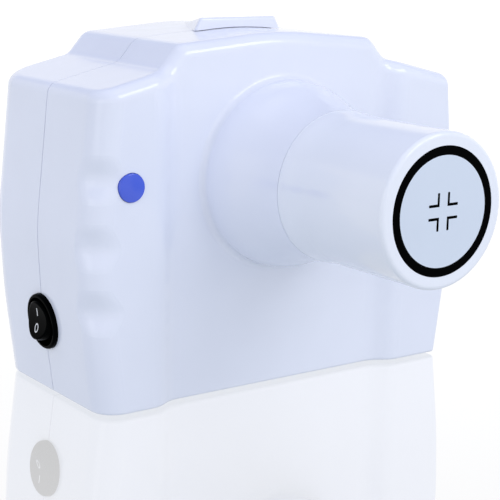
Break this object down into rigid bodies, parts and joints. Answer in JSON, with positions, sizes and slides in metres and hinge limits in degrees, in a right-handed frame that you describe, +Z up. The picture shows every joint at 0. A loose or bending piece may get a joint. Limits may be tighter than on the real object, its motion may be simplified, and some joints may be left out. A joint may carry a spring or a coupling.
{
  "type": "handheld intraoral x-ray unit",
  "caption": "Camera-shaped handheld dental x-ray unit with a beam cone, side power rocker, blue exposure button, rear display and keys.",
  "frame": {"origin": "mouth of the tripod insert, on the underside of the case, on its centre plane", "axes": "+X to the right seen from the front, -Y along the beam out of the cone, +Z up"},
  "size_m": [0.1721, 0.1642, 0.138],
  "materials": {
    "white_shell": "glossy white ABS with a cool tint",
    "cone_white": "glossy white ABS, a little brighter than the case",
    "tip_white": "satin pale grey-white",
    "gloss_black": "glossy black",
    "blue_button": "glossy blue",
    "mark_white": "printed white",
    "panel_grey": "satin grey overlay",
    "key_blue": "satin silicone key",
    "display_glass": "clear acrylic",
    "display_grey": "dark display module",
    "lamp_amber": "clear amber lens",
    "silicone": "translucent silicone",
    "foot_rubber": "matte black rubber",
    "board_green": "solder mask",
    "component_black": "moulded components",
    "steel": "zinc-plated steel",
    "brass": "turned brass",
    "aluminium": "machined aluminium",
    "lead": "dull grey lead",
    "copper": "bare copper",
    "tungsten": "dark ground tungsten",
    "glass": "clear borosilicate glass",
    "ferrite": "matte ferrite",
    "winding": "enamelled wire under varnish",
    "tank_grey": "cast aluminium",
    "cell_wrap": "shrink wrap",
    "holder_black": "moulded nylon"
  },
  "bodies": {
    "case": {"front_shell": "white_shell", "rear_shell": "white_shell", "case_screws": "steel", "rubber_feet": "foot_rubber", "tripod_insert": "brass", "charge_jack": "component_black", "collimator_tube": "cone_white", "tube_liner": "lead", "tip_disc": "tip_white", "tip_ring": "gloss_black", "aiming_marks": "gloss_black", "button_spring": "steel", "trigger_switch": "component_black", "trigger_board": "board_green", "board_screws": "steel", "switch_housing": "gloss_black", "switch_terminals": "brass", "rear_panel": "panel_grey", "display_window": "display_glass", "display_module": "display_grey", "keypad_mat": "silicone", "panel_board": "board_green", "status_lamp": "lamp_amber", "tank_body": "tank_grey", "lead_lining": "lead", "tank_lid": "tank_grey", "tank_screws": "steel", "beam_window": "tip_white", "aluminium_filter": "aluminium", "lead_diaphragm": "lead", "retaining_ring": "brass", "glass_envelope": "glass", "anode": "copper", "tungsten_target": "tungsten", "cathode_cup": "steel", "filament": "tungsten", "tube_cradles": "holder_black", "transformer_core": "ferrite", "primary_winding": "winding", "secondary_winding": "winding", "multiplier_board": "board_green", "multiplier_parts": "winding", "chassis": "aluminium", "inverter_board": "board_green", "heat_sink": "aluminium", "inverter_parts": "component_black", "control_board": "board_green", "control_parts": "component_black", "board_standoffs": "brass", "battery_cells": "cell_wrap", "battery_holder": "holder_black", "battery_board": "board_green"},
    "button": {"exposure_button": "blue_button"},
    "rocker": {"power_rocker": "gloss_black", "rocker_marks": "mark_white"},
    "key_minus_cap": {"key_minus": "key_blue"},
    "key_mode_cap": {"key_mode": "key_blue"},
    "key_plus_cap": {"key_plus": "key_blue"},
    "key_tooth_cap": {"key_tooth": "key_blue"},
    "key_patient_cap": {"key_patient": "key_blue"}
  },
  "joints": [
    {"name": "exposure_press", "type": "slide", "parent": "case", "child": "button", "axis": [0, 1, 0], "range_m": [0, 0.0015], "stiffness_N_per_m": 600, "springref_m": -0.001, "deforming": ["button_spring"]},
    {"name": "power_rock", "type": "hinge", "parent": "case", "child": "rocker", "pos_m": [-0.08024, 0.014, 0.02827], "axis": [0, -1, 0], "range_deg": [0, 20]},
    {"name": "key_minus_press", "type": "slide", "parent": "case", "child": "key_minus_cap", "axis": [0, -1, 0], "range_m": [0, 0.0008], "stiffness_N_per_m": 600, "springref_m": -0.0005},
    {"name": "key_mode_press", "type": "slide", "parent": "case", "child": "key_mode_cap", "axis": [0, -1, 0], "range_m": [0, 0.0008], "stiffness_N_per_m": 600, "springref_m": -0.0005},
    {"name": "key_plus_press", "type": "slide", "parent": "case", "child": "key_plus_cap", "axis": [0, -1, 0], "range_m": [0, 0.0008], "stiffness_N_per_m": 600, "springref_m": -0.0005},
    {"name": "key_tooth_press", "type": "slide", "parent": "case", "child": "key_tooth_cap", "axis": [0, -1, 0], "range_m": [0, 0.0008], "stiffness_N_per_m": 600, "springref_m": -0.0005},
    {"name": "key_patient_press", "type": "slide", "parent": "case", "child": "key_patient_cap", "axis": [0, -1, 0], "range_m": [0, 0.0008], "stiffness_N_per_m": 600, "springref_m": -0.0005}
  ]
}
